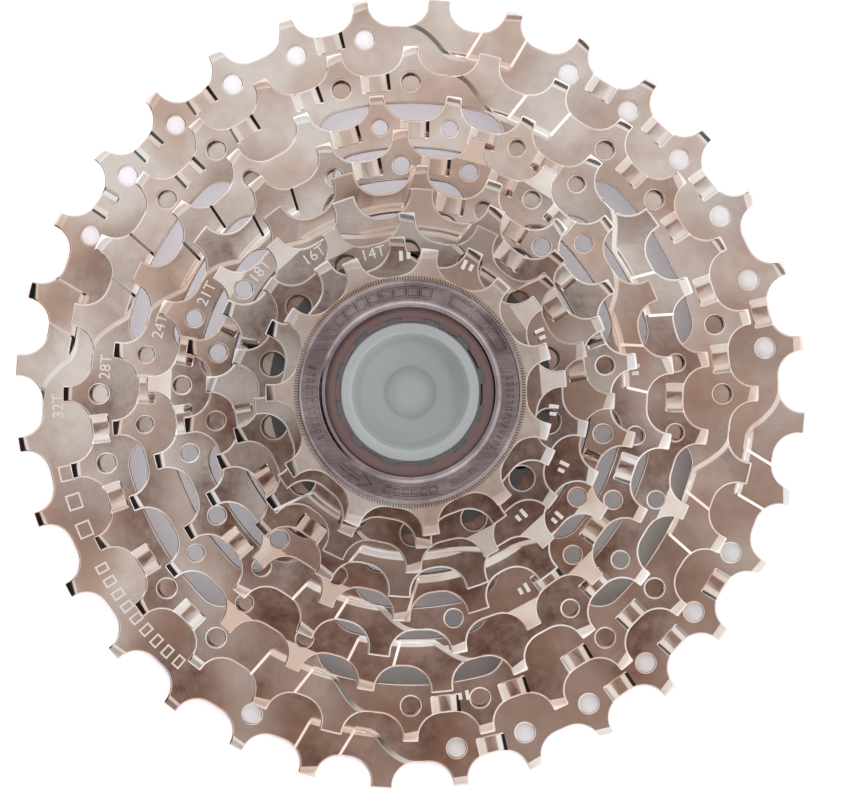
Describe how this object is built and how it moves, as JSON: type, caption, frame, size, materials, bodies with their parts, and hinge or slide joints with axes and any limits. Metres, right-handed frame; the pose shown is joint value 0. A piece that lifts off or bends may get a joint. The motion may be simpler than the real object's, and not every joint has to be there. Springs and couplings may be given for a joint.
{
  "type": "bicycle cassette",
  "caption": "Stack of stepped bicycle sprockets with shift ramps, spacers, rivets and a threaded lockring on a splined plastic shipping core.",
  "frame": {"origin": "on the hub axle, at the back face of the largest sprocket", "axes": "+Z along the axle from the largest sprocket to the smallest; +Y up and +X right in the front view"},
  "size_m": [0.1306, 0.1306, 0.039],
  "materials": {
    "sprocket_nickel": "bright nickel plate over pressed steel",
    "lockring_steel": "bright turned steel with fine handling marks",
    "washer_steel": "plain steel",
    "rivet_steel": "plain steel",
    "spacer_plastic": "moulded, dark grey",
    "core_plastic": "moulded, translucent grey"
  },
  "bodies": {
    "stack": {"sprocket_32t": "sprocket_nickel", "sprocket_28t": "sprocket_nickel", "sprocket_24t": "sprocket_nickel", "sprocket_21t": "sprocket_nickel", "sprocket_18t": "sprocket_nickel", "sprocket_16t": "sprocket_nickel", "sprocket_14t": "sprocket_nickel", "sprocket_12t": "sprocket_nickel", "sprocket_11t": "sprocket_nickel", "spacer_32_28": "spacer_plastic", "spacer_28_24": "spacer_plastic", "spacer_24_21": "spacer_plastic", "spacer_21_18": "spacer_plastic", "spacer_18_16": "spacer_plastic", "spacer_16_14": "spacer_plastic", "spacer_14_12": "spacer_plastic", "cluster_rivets": "rivet_steel"},
    "core": {"shipping_core": "core_plastic"},
    "washer": {"lockring_washer": "washer_steel"},
    "lockring": {"lockring": "lockring_steel"}
  },
  "joints": [
    {"name": "core_lift", "type": "slide", "parent": "stack", "child": "core", "axis": [0, 0, 1], "range_m": [0, 0.045]},
    {"name": "lockring_rise", "type": "slide", "parent": "core", "child": "washer", "axis": [0, 0, 1], "range_m": [0, 0.00424]},
    {"name": "lockring_turn", "type": "hinge", "parent": "washer", "child": "lockring", "pos_m": [0, 0, 0.0371], "axis": [0, 0, 1], "range_deg": [0, 1440]}
  ],
  "couplings": [
    {"joint": "lockring_rise", "follows": "lockring_turn", "m_per_rad": 0.00016844}
  ]
}
